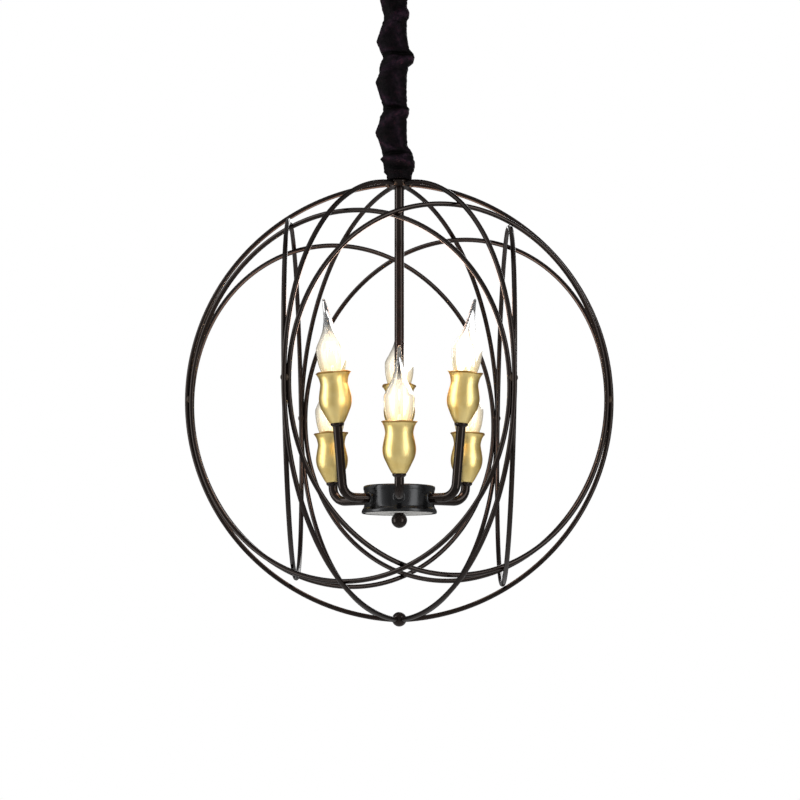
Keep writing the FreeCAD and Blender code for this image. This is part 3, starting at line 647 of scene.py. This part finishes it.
def collar_and_ball():
    """The collar with its weld beads, and the ball that closes the ribs below."""
    outline = [(ROD_R, COLLAR_LOW), (COLLAR_R - 0.8, COLLAR_LOW), (COLLAR_R - 0.2, COLLAR_LOW + 0.3),
               (COLLAR_R, COLLAR_LOW + 0.9), (COLLAR_R, COLLAR_TOP - 0.9),
               (COLLAR_R - 0.2, COLLAR_TOP - 0.3), (COLLAR_R - 0.8, COLLAR_TOP), (ROD_R, COLLAR_TOP)]
    collar = turned("cage_collar", outline, closed=True)
    dress(collar, "chandelier", "bronze_black", "cage_top_collar")
    blobs = []
    for side in range(SIDES):
        blob = lump("blob", BLOB_R, (1.0, 1.15, 0.85), 5.0 + side)
        blobs.append(settle(blob, about_z(60 * side) @ at(COLLAR_R + 0.3, 0, ORB_Z + POLE - 0.2)))
    dress(joined("collar_weld_beads", blobs), "chandelier", "bronze_black", finish_name="weld_bronze")
    ball = [(BALL_R * math.sin(math.radians(a)), BALL_R * -math.cos(math.radians(a)))
            for a in range(0, 181, 6)]
    ball[0], ball[-1] = (0.0, -BALL_R), (0.0, BALL_R)
    piece = turned("cage_ball", ball, 48)
    dress(settle(piece, at(0, 0, ORB_Z - POLE)), "chandelier", "bronze_black", "cage_bottom_ball")


# ---------------------------------------------------------------- rod and hub

def rod_and_hub():
    """The rod's tube, the pressed hub with its arm bezels, the plate under it and the finial."""
    rod_top, rod_low, bore = COLLAR_TOP + 5.9, HUB_LOW - 3.2, ROD_R - 1.0
    rod = turned("centre_rod_tube",
                 [(ROD_R, rod_top), (ROD_R, rod_low), (bore, rod_low), (bore, rod_top)], 40, closed=True)
    dress(rod, "chandelier", "bronze_black", "centre_rod")
    top, low = HUB_TOP, HUB_LOW
    outside = [(25.0, top), (28.0, top - 0.1), (29.3, top - 0.7), (29.7, top - 1.8), (29.6, top - 3.2),
               (29.1, top - 5.2), (28.8, top - 8.5), (28.7, top - 12.0), (28.9, top - 15.5),
               (29.5, top - 18.2), (30.5, top - 19.8), (31.0, low + 2.0), (31.0, low + 0.5), (30.7, low)]
    inside = [(29.9, low), (29.8, low + 1.2), (28.2, low + 4.4), (27.6, low + 9.0), (27.6, low + 16.0),
              (26.6, top - 2.6), (24.0, top - 1.3)]
    outline = [(ROD_R + 0.05, top)] + fair(outside, 4) + fair(inside, 3) + [(ROD_R + 0.05, top - 1.3)]
    hub = turned("hub_cap", outline, 96, closed=True)
    dress(hub, "chandelier", "bronze_black", "hub_shell", finish_name="hub_black")
    bezel = turned("bezel", fair([(ARM_R + 0.05, 29.7), (4.6, 29.6), (5.3, 29.0), (5.6, 27.8)], 3), 32)
    bezels = []
    for side in range(SIDES):
        where = about_z(30 + 60 * side) @ at(0, 0, ARM_Z) @ Matrix.Rotation(math.radians(90), 4, "Y")
        bezels.append(twin(bezel, "arm_bezel_%d" % (side + 1), where))
    drop(bezel)
    dress(joined("arm_bezels", bezels), "chandelier", "bronze_black", finish_name="hub_black")
    plate = (fair([(ROD_R + 0.05, low + 0.6), (9.0, low + 0.2), (20.0, low + 0.1)], 3)
             + fair([(27.0, low + 0.1), (27.9, low + 0.5), (28.0, low + 1.4)], 3)
             + [(ROD_R + 0.05, low + 1.5)])
    cover = turned("under_cover", plate, 72, closed=True)
    dress(cover, "chandelier", "cover_white", "hub_cover")
    middle = low - FINIAL_DROP
    ball = [(FINIAL_R * math.sin(math.radians(a)), middle - FINIAL_R * math.cos(math.radians(a)))
            for a in range(0, 146, 5)]
    ball[0] = (0.0, middle - FINIAL_R)
    finial = turned("finial_ball", ball + [(0.0, ball[-1][1])], 48)
    dress(finial, "chandelier", "bronze_black", "hub_finial")


# ---------------------------------------------------------------- candles

def candle_place(side):
    """Where a candle's foot stands: its own Z runs up the candle and its X outwards."""
    arm = HIGH_ARM if side % 2 else LOW_ARM
    return (about_z(30 + 60 * side) @ at(arm["reach"], 0, ARM_Z + arm["rise"])
            @ Matrix.Rotation(math.radians(arm["lean"]), 4, "Y"))


def arm_pattern(arm):
    """One bent tube: level out of the hub, round its elbow and up into the cup."""
    lean = math.radians(arm["lean"])
    bend_z = ARM_Z + ARM_BEND
    foot_z = ARM_Z + arm["rise"]
    bend_x = arm["reach"] + (bend_z - foot_z) * math.tan(lean) - ARM_BEND / math.cos(lean)
    rise = (foot_z - bend_z + ARM_BEND * math.sin(lean)) / math.cos(lean) + SOCKET_FOOT / 2
    return wire("arm", ARM_R, (ARM_ROOT, ARM_Z), 90.0,
                [("run", bend_x - ARM_ROOT, 0.0), ("bend", bend_x, bend_z, 90.0 - arm["lean"], 14),
                 ("run", rise * math.sin(lean), rise * math.cos(lean))], around=32)


def cup_pattern():
    """The candle cup: a thin spun bowl whose lip rolls outwards and wanders a little."""
    outside = fair([(5.2, 0.0), (5.9, 0.3), (7.6, 3.0), (10.2, 8.2), (12.6, 13.6), (13.45, 19.5),
                    (12.6, 25.5), (11.45, 31.0), (11.4, 33.5), (12.3, 37.6), (13.6, 40.2),
                    (14.3, 41.2)], 4)
    rolled = fair([(14.55, 41.15), (14.62, 41.45), (14.3, 41.75), (13.7, 41.5)], 3)
    inside = fair([(12.7, 39.8), (11.4, 37.2), (10.6, 33.5), (10.65, 31.0), (11.8, 25.5), (12.6, 19.5),
                   (11.8, 13.8), (9.4, 8.6), (6.8, 3.6), (5.0, 1.0)], 4)
    foot = [(ARM_R + 0.05, 0.9), (ARM_R + 0.05, 0.0)]
    cup = turned("cup", outside + rolled + inside + foot, 80, 50.0, closed=True)
    for vertex in cup.data.vertices:
        share = max(0.0, (vertex.co.z / MM - CUP_WAVE_FROM) / (CUP_HEIGHT - CUP_WAVE_FROM))
        if share <= 0.0:
            continue
        angle = math.atan2(vertex.co.y, vertex.co.x)
        swell = 1.0 + share * share * 0.012 * math.sin(5 * angle + 0.7)
        vertex.co.x *= swell
        vertex.co.y *= swell
        lift = 0.28 * math.sin(4 * angle) + 0.16 * math.sin(7 * angle + 1.1)
        vertex.co.z += share * share * lift * MM
    return cup


def bulb_pattern():
    """The flame-tipped bulb: a thin wall closed by a solid tip, which is drawn over to one side."""
    neck, wide, tip = 6.3, 12.5, 1.1
    rise = BULB_HEIGHT - BULB_WIDEST
    outline = [(neck, 0.0), (neck + 2.6, BULB_WIDEST * 0.25), (neck + 5.3, BULB_WIDEST * 0.6),
               (wide, BULB_WIDEST)]
    for share, left in ((0.1, 0.9), (0.22, 0.67), (0.4, 0.37), (0.62, 0.185), (0.82, 0.08), (0.97, 0.01)):
        outline.append((tip + (wide - tip) * left, BULB_WIDEST + rise * share))
    outside = fair(outline, 6) + [(0.75, BULB_HEIGHT - 0.3), (0.0, BULB_HEIGHT)]
    inside = fair([(radius - GLASS_WALL, height) for radius, height in outline[:8]]
                  + [(1.5, BULB_WIDEST + rise * 0.7), (0.5, BULB_WIDEST + rise * 0.765),
                     (0.0, BULB_WIDEST + rise * 0.78)], 5)
    glass = turned("glass", inside[::-1] + outside, 64, 80.0)
    mapping = glass.data.uv_layers.new(name="height")
    for loop in glass.data.loops:
        spot = glass.data.vertices[loop.vertex_index].co
        mapping.data[loop.index].uv = (math.atan2(spot.y, spot.x) / (2 * math.pi) + 0.5,
                                       spot.z / (BULB_HEIGHT * MM))
    for vertex in glass.data.vertices:
        share = max(0.0, vertex.co.z / MM - BULB_WIDEST) / rise
        vertex.co.x += TIP_BEND * share * share * MM
    return glass


def screw_base_pattern():
    """Threaded brass shell over a dark insulator and its contact, downwards from the glass."""
    outline = [(0.0, 0.05), (5.95, 0.05), (5.95, -1.4)]
    height = -1.4
    while height > -13.0:
        outline += [(5.9, height - 0.3), (5.45, height - 1.2), (5.9, height - 2.2)]
        height -= 2.5
    outline += [(5.0, -15.6), (3.6, -17.2), (2.4, -18.0), (2.0, -19.0), (0.0, -19.0)]
    return turned("screw_base", outline, 40, 60.0)


def filament_pattern():
    """The glass stem and its two leads."""
    outline = fair([(0.0, 0.8), (2.5, 0.9), (2.3, 6.0), (1.6, 12.0), (1.2, 13.6), (0.0, 14.0)], 3)
    stem = turned("stem", outline, 24)
    leads = []
    for side in (-1, 1):
        leads.append(wire("lead", 0.22, (side * 0.9, 12.8), side * 42.0,
                          [("run", side * 3.1, 3.6), ("run", 0.0, 16.4)], around=8))
    return stem, leads


def filament_hoop():
    """The lit wire: a narrow zigzag between the leads."""
    parts = [wire("lit", 0.3, (-4.0, 32.9), 90.0, [("run", 8.0, 0.0)], around=8)]
    for x in (-2.4, 0.0, 2.4):
        parts.append(wire("lit", 0.3, (x, 33.0), 180.0, [("run", 0.5, -7.0)], around=8))
    return joined("hoop", parts)


def candles():
    """Arms, cups, sockets and bulbs, six of each from one pattern."""
    low_arm, high_arm = arm_pattern(LOW_ARM), arm_pattern(HIGH_ARM)
    cup, glass, base = cup_pattern(), bulb_pattern(), screw_base_pattern()
    seat = turned("seat", fair([(ARM_R + 0.02, -3.0), (4.5, -2.5), (5.2, -1.9), (5.6, -1.1), (5.6, -0.3),
                                (5.3, 0.0)], 3) + [(ARM_R + 0.02, 0.0)], 40, closed=True)
    shell = turned("shell", [(0.0, 4.0), (3.7, 4.0), (3.7, 0.9), (4.7, 0.9), (4.7, 7.8), (7.7, 7.8),
                             (8.2, 8.4), (8.3, 9.2), (8.3, 31.8), (7.9, 32.7), (7.3, 33.0), (6.3, 33.0),
                             (6.25, 12.0), (0.0, 11.0)], 48)
    stem, leads = filament_pattern()
    loop = filament_hoop()
    lip = [face.index for face in cup.data.polygons if face.center.z > LIP_FROM * MM]
    seats, sockets = [], []
    for side in range(SIDES):
        number = side + 1
        where = candle_place(side)
        arm = twin(high_arm if side % 2 else low_arm, "arm_tube_%d" % number, about_z(30 + 60 * side))
        dress(arm, "chandelier", "bronze_black", "candle_arm_%d" % number)
        bowl = twin(cup, "cup_bowl_%d" % number, where)
        dress(bowl, "chandelier", "cup_gold", "candle_cup_%d" % number)
        # The rolled lip takes the darker finish, a painted shade along the rim.
        bowl.data.materials.append(FINISHES["lip_painted_shade"])
        for index in lip:
            bowl.data.polygons[index].material_index = 1
        seats.append(twin(seat, "seat_%d" % number, where))
        sockets.append(twin(shell, "socket_%d" % number, where))
        up = where @ at(0, 0, GLASS_FOOT)
        body = "bulb_%d" % number
        shade = twin(glass, "bulb_shell_%d" % number, up)
        shade.visible_shadow = False
        dress(shade, body, "clear_glass", "bulb_glass_%d" % number)
        dress(twin(base, "bulb_screw_%d" % number, up), body, "base_brass", "bulb_base_%d" % number)
        inside = [twin(part, "inside", up) for part in [stem] + leads]
        dress(joined("bulb_stem_%d" % number, inside), body, "base_brass", finish_name="steel")
        dress(twin(loop, "bulb_filament_%d" % number, up), body, "clear_glass", finish_name="filament")
    dress(joined("candle_seats", seats), "chandelier", "bronze_black", "cup_seats")
    dress(joined("socket_shells", sockets), "chandelier", "socket_black", "lamp_sockets")
    for part in [low_arm, high_arm, cup, glass, base, seat, shell, stem, loop] + leads:
        drop(part)


# ---------------------------------------------------------------- ceiling fittings

def ceiling_fittings():
    """The pressed canopy and the round nut that holds it up."""
    outside = fair([(5.2, -24.0), (30.0, -24.0), (50.0, -24.0), (55.4, -23.2), (58.9, -20.0),
                    (60.0, -15.0), (60.0, -5.0), (60.0, -1.2)], 5) + [(59.8, -0.3), (59.2, 0.0)]
    inside = [(58.8, -1.0), (58.8, -15.0)] + fair([(57.8, -19.4), (54.8, -22.0), (50.0, -22.8),
                                                   (5.2, -22.8)], 4)
    canopy = turned("canopy_dish", outside + inside, 96, closed=True)
    dress(canopy, "ceiling", "bronze_black", "ceiling_canopy")
    nut = turned("loop_nut", [(0.0, -24.1), (8.2, -24.1), (8.8, -24.8), (9.0, -25.8), (9.0, -31.2),
                              (8.7, -32.2), (7.8, -33.0), (0.0, -33.0)], 48)
    dress(nut, "ceiling", "bronze_black", "canopy_loop_nut")


# ---------------------------------------------------------------- fabric sleeve

# Height above the orb's middle, and how far the sleeve stands out left and right there.
LEFT_SIDE = ((371.3, 10.3), (365.0, 10.6), (359.0, 16.0), (354.0, 19.0), (347.0, 15.6), (341.0, 16.5),
             (326.0, 13.0), (322.0, 13.4), (314.0, 16.2), (304.0, 19.3), (293.5, 15.0), (290.5, 13.8),
             (282.0, 16.9), (276.0, 17.0), (269.0, 20.1), (256.5, 16.2), (247.0, 13.5), (243.5, 13.9),
             (239.0, 16.2), (234.0, 17.2), (225.5, 20.4), (218.5, 17.2), (211.5, 15.2), (205.5, 13.8),
             (202.8, 16.0), (200.0, 13.6), (192.0, 12.8), (189.5, 10.8), (184.9, 10.3))
RIGHT_SIDE = ((371.3, 10.3), (366.0, 10.3), (358.0, 7.0), (352.0, 6.4), (346.0, 8.0), (336.0, 6.5),
              (333.0, 6.6), (329.0, 8.6), (325.0, 8.2), (321.0, 6.4), (310.0, 6.5), (297.5, 8.4),
              (293.0, 12.2), (290.5, 13.0), (285.5, 11.8), (282.5, 7.8), (276.0, 6.6), (262.0, 6.3),
              (248.0, 6.6), (245.8, 8.6), (241.5, 8.1), (238.0, 6.4), (226.0, 6.4), (214.5, 6.9),
              (210.0, 9.9), (206.0, 11.9), (202.0, 12.2), (199.5, 13.4), (193.0, 12.4), (189.5, 10.6),
              (184.9, 10.3))
SLEEVE_CUTS = (-77.6, -118.0, -158.5)
SLEEVE_TOP = -24.5
SLEEVE_LOW = -210.9
SLEEVE_ROWS = 58
SLEEVE_AROUND = 96
SLEEVE_CLOTH = 0.8
SLEEVE_END_R = 10.3

# Folds in the cloth: where each starts and ends (degrees round from the right side, the front at
# -90; height above the orb's middle), how far it stands out and how wide it is.
FRONT_FOLDS = (
    ((-10, 331.0), (-95, 321.0), 2.0, 3.4), ((-95, 321.0), (-150, 309.0), 1.5, 4.0),
    ((-170, 300.0), (-110, 290.0), 1.3, 3.4), ((-165, 291.5), (-20, 291.0), -2.6, 1.5),
    ((-20, 290.0), (-75, 284.5), 2.2, 2.6), ((-75, 284.5), (-140, 276.5), 1.3, 3.2),
    ((-175, 262.0), (-120, 249.5), 1.6, 3.0), ((-120, 249.5), (-60, 245.0), 1.0, 2.4),
    ((-165, 246.3), (-15, 245.0), -2.6, 1.4), ((-15, 243.5), (-90, 238.0), 2.0, 2.6),
    ((-90, 238.0), (-155, 229.0), 1.6, 3.2), ((-170, 219.0), (-110, 209.5), 1.4, 3.0),
    ((-165, 205.6), (-30, 207.0), -2.2, 1.4), ((-30, 209.5), (-70, 203.5), 1.8, 2.2),
    ((-150, 203.0), (-95, 200.5), 1.5, 1.8), ((-95, 200.5), (-20, 197.5), 1.4, 1.8),
    ((-160, 196.0), (-60, 193.0), -1.5, 1.3), ((-30, 352.0), (-120, 343.0), 1.8, 3.2),
    ((-120, 343.0), (-170, 333.0), 1.4, 3.0), ((-165, 347.5), (-60, 350.0), -2.0, 1.5),
    ((-70, 313.0), (-62, 298.0), 0.9, 3.0), ((-72, 273.0), (-60, 254.0), 0.9, 3.2),
    ((-70, 232.0), (-60, 214.0), 0.9, 3.2),
)


def mirrored_folds():
    """The back's folds: the front's turned round, each shifted a little in height."""
    folds = []
    for index, ((a, h), (b, k), out, width) in enumerate(FRONT_FOLDS):
        shift = 2.2 * math.sin(index * 1.9)
        folds.append(((-a, h + shift), (-b, k + shift * 0.6), out * 0.9, width * 1.1))
    return folds


FOLDS = list(FRONT_FOLDS) + mirrored_folds()


def reach_at(side, height):
    """How far out one side of the sleeve is at a height, between the drawn points."""
    for (high, out_high), (low, out_low) in zip(side, side[1:]):
        if height >= low:
            share = min(1.0, max(0.0, (height - low) / (high - low)))
            return out_low + (out_high - out_low) * share
    return side[-1][1]


def fold_height(degrees, height):
    """How far the folds lift or press the cloth at a place."""
    total = 0.0
    for (a, h), (b, k), out, width in FOLDS:
        if abs(height - h) > 22.0:
            continue
        run_a, run_h = (b - a) * 0.2, k - h
        off_a, off_h = (degrees - a) * 0.2, height - h
        along = (run_a * off_a + run_h * off_h) / (run_a ** 2 + run_h ** 2)
        near = min(1.0, max(0.0, along))
        gap = math.hypot(off_a - run_a * near, off_h - run_h * near)
        total += out * math.exp(-(gap / width) ** 2)
    return total


def sleeve_point(height, angle):
    """A point of the gathered cloth at a height, angle 0 on the right and -90 degrees in front."""
    rise = height - ORB_Z
    ends = max(0.0, min(1.0, (SLEEVE_TOP - height) / 9.0, (height - SLEEVE_LOW) / 7.0))
    across, along = math.cos(angle), math.sin(angle)
    left, right = reach_at(LEFT_SIDE, rise), reach_at(RIGHT_SIDE, rise)
    middle, half = (right - left) / 2, (right + left) / 2
    depth = SLEEVE_END_R + ends * (0.5 + 1.3 * max(0.0, min(1.5, (half - 10.0) / 2.5)))
    spot = Vector((across * 1.1, along * 1.1, rise * 0.13))
    crumple = 0.9 * noise.noise(spot) + 0.55 * noise.noise(spot * 2.7) + 0.25 * noise.noise(spot * 6.5)
    out = ends * abs(along) ** 0.6 * (1.3 * fold_height(math.degrees(angle), rise) + crumple)
    edge = ends * 0.55 * noise.noise(Vector((across * 2.0, 4.0, rise * 0.42)))
    x = middle + (half + 0.2 * out + edge) * across
    y = (depth + out) * along
    z = height + ends * 0.6 * noise.noise(spot * 1.7 + Vector((3.0, 5.0, 0.0)))
    return Vector((x, y, z))


def sleeve():
    """Four lengths of one gathered sleeve, cut at the heights in SLEEVE_CUTS."""
    edges = (SLEEVE_TOP,) + SLEEVE_CUTS + (SLEEVE_LOW,)
    for index, (top, low) in enumerate(zip(edges, edges[1:])):
        piece = begin(bpy.ops.mesh.primitive_circle_add, vertices=SLEEVE_AROUND, radius=10 * MM,
                      location=(0, 0, top * MM))
        for _ in range(SLEEVE_ROWS):
            bpy.ops.mesh.extrude_region_move(
                TRANSFORM_OT_translate={"value": (0, 0, (low - top) / SLEEVE_ROWS * MM)})
        piece = end(piece, "fabric_sleeve_%d" % (index + 1), 180.0)
        mapping = piece.data.uv_layers.new(name="cloth")
        for loop in piece.data.loops:
            spot = piece.data.vertices[loop.vertex_index].co
            mapping.data[loop.index].uv = (math.atan2(spot.y, spot.x) / (2 * math.pi) + 0.5,
                                           spot.z * 12.0)
        # Fold heights for the velvet's painted sheen on the ridges and painted shade in the grooves.
        fold_shade_mask = piece.data.color_attributes.new("folds", "FLOAT_COLOR", "POINT")
        for vertex in piece.data.vertices:
            angle = math.atan2(vertex.co.y, vertex.co.x)
            raised = 0.5 + 0.09 * fold_height(math.degrees(angle), vertex.co.z / MM - ORB_Z)
            fold_shade_mask.data[vertex.index].color = (raised, raised, raised, 1.0)
            vertex.co = sleeve_point(vertex.co.z / MM, angle) * MM
        cloth = piece.modifiers.new("cloth", "SOLIDIFY")
        cloth.thickness = SLEEVE_CLOTH * MM
        cloth.offset = -1.0
        bpy.ops.object.modifier_apply(modifier=cloth.name)
        piece.data.materials.append(FINISHES["sleeve_velvet"])
        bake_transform(piece)
        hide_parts("fabric_sleeve")


# ---------------------------------------------------------------- kept nodes

KEPT = {
    "crossbar": "steel", "crossbar_nipple": "steel", "nipple_lock_nut": "steel",
    "ground_screw": "earth_green",
    "canopy_loop": "bronze_black", "chain_link_top": "bronze_black",
    "chain_links_middle": "bronze_black", "chain_link_bottom": "bronze_black",
    "hanging_loop": "bronze_black", "loop_coupling": "bronze_black",
    "hub_lock_nuts": "steel", "arm_lock_nuts": "steel",
}


def kept_nodes():
    """Finishes for the solids that show, or lie hidden, as they are."""
    for node, slot in KEPT.items():
        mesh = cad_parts[node].data
        mesh.materials.clear()
        mesh.materials.append(FINISHES[slot])


look()
studio()
floor()
ribs()
hoops()
welds()
collar_and_ball()
rod_and_hub()
candles()
ceiling_fittings()
sleeve()
kept_nodes()
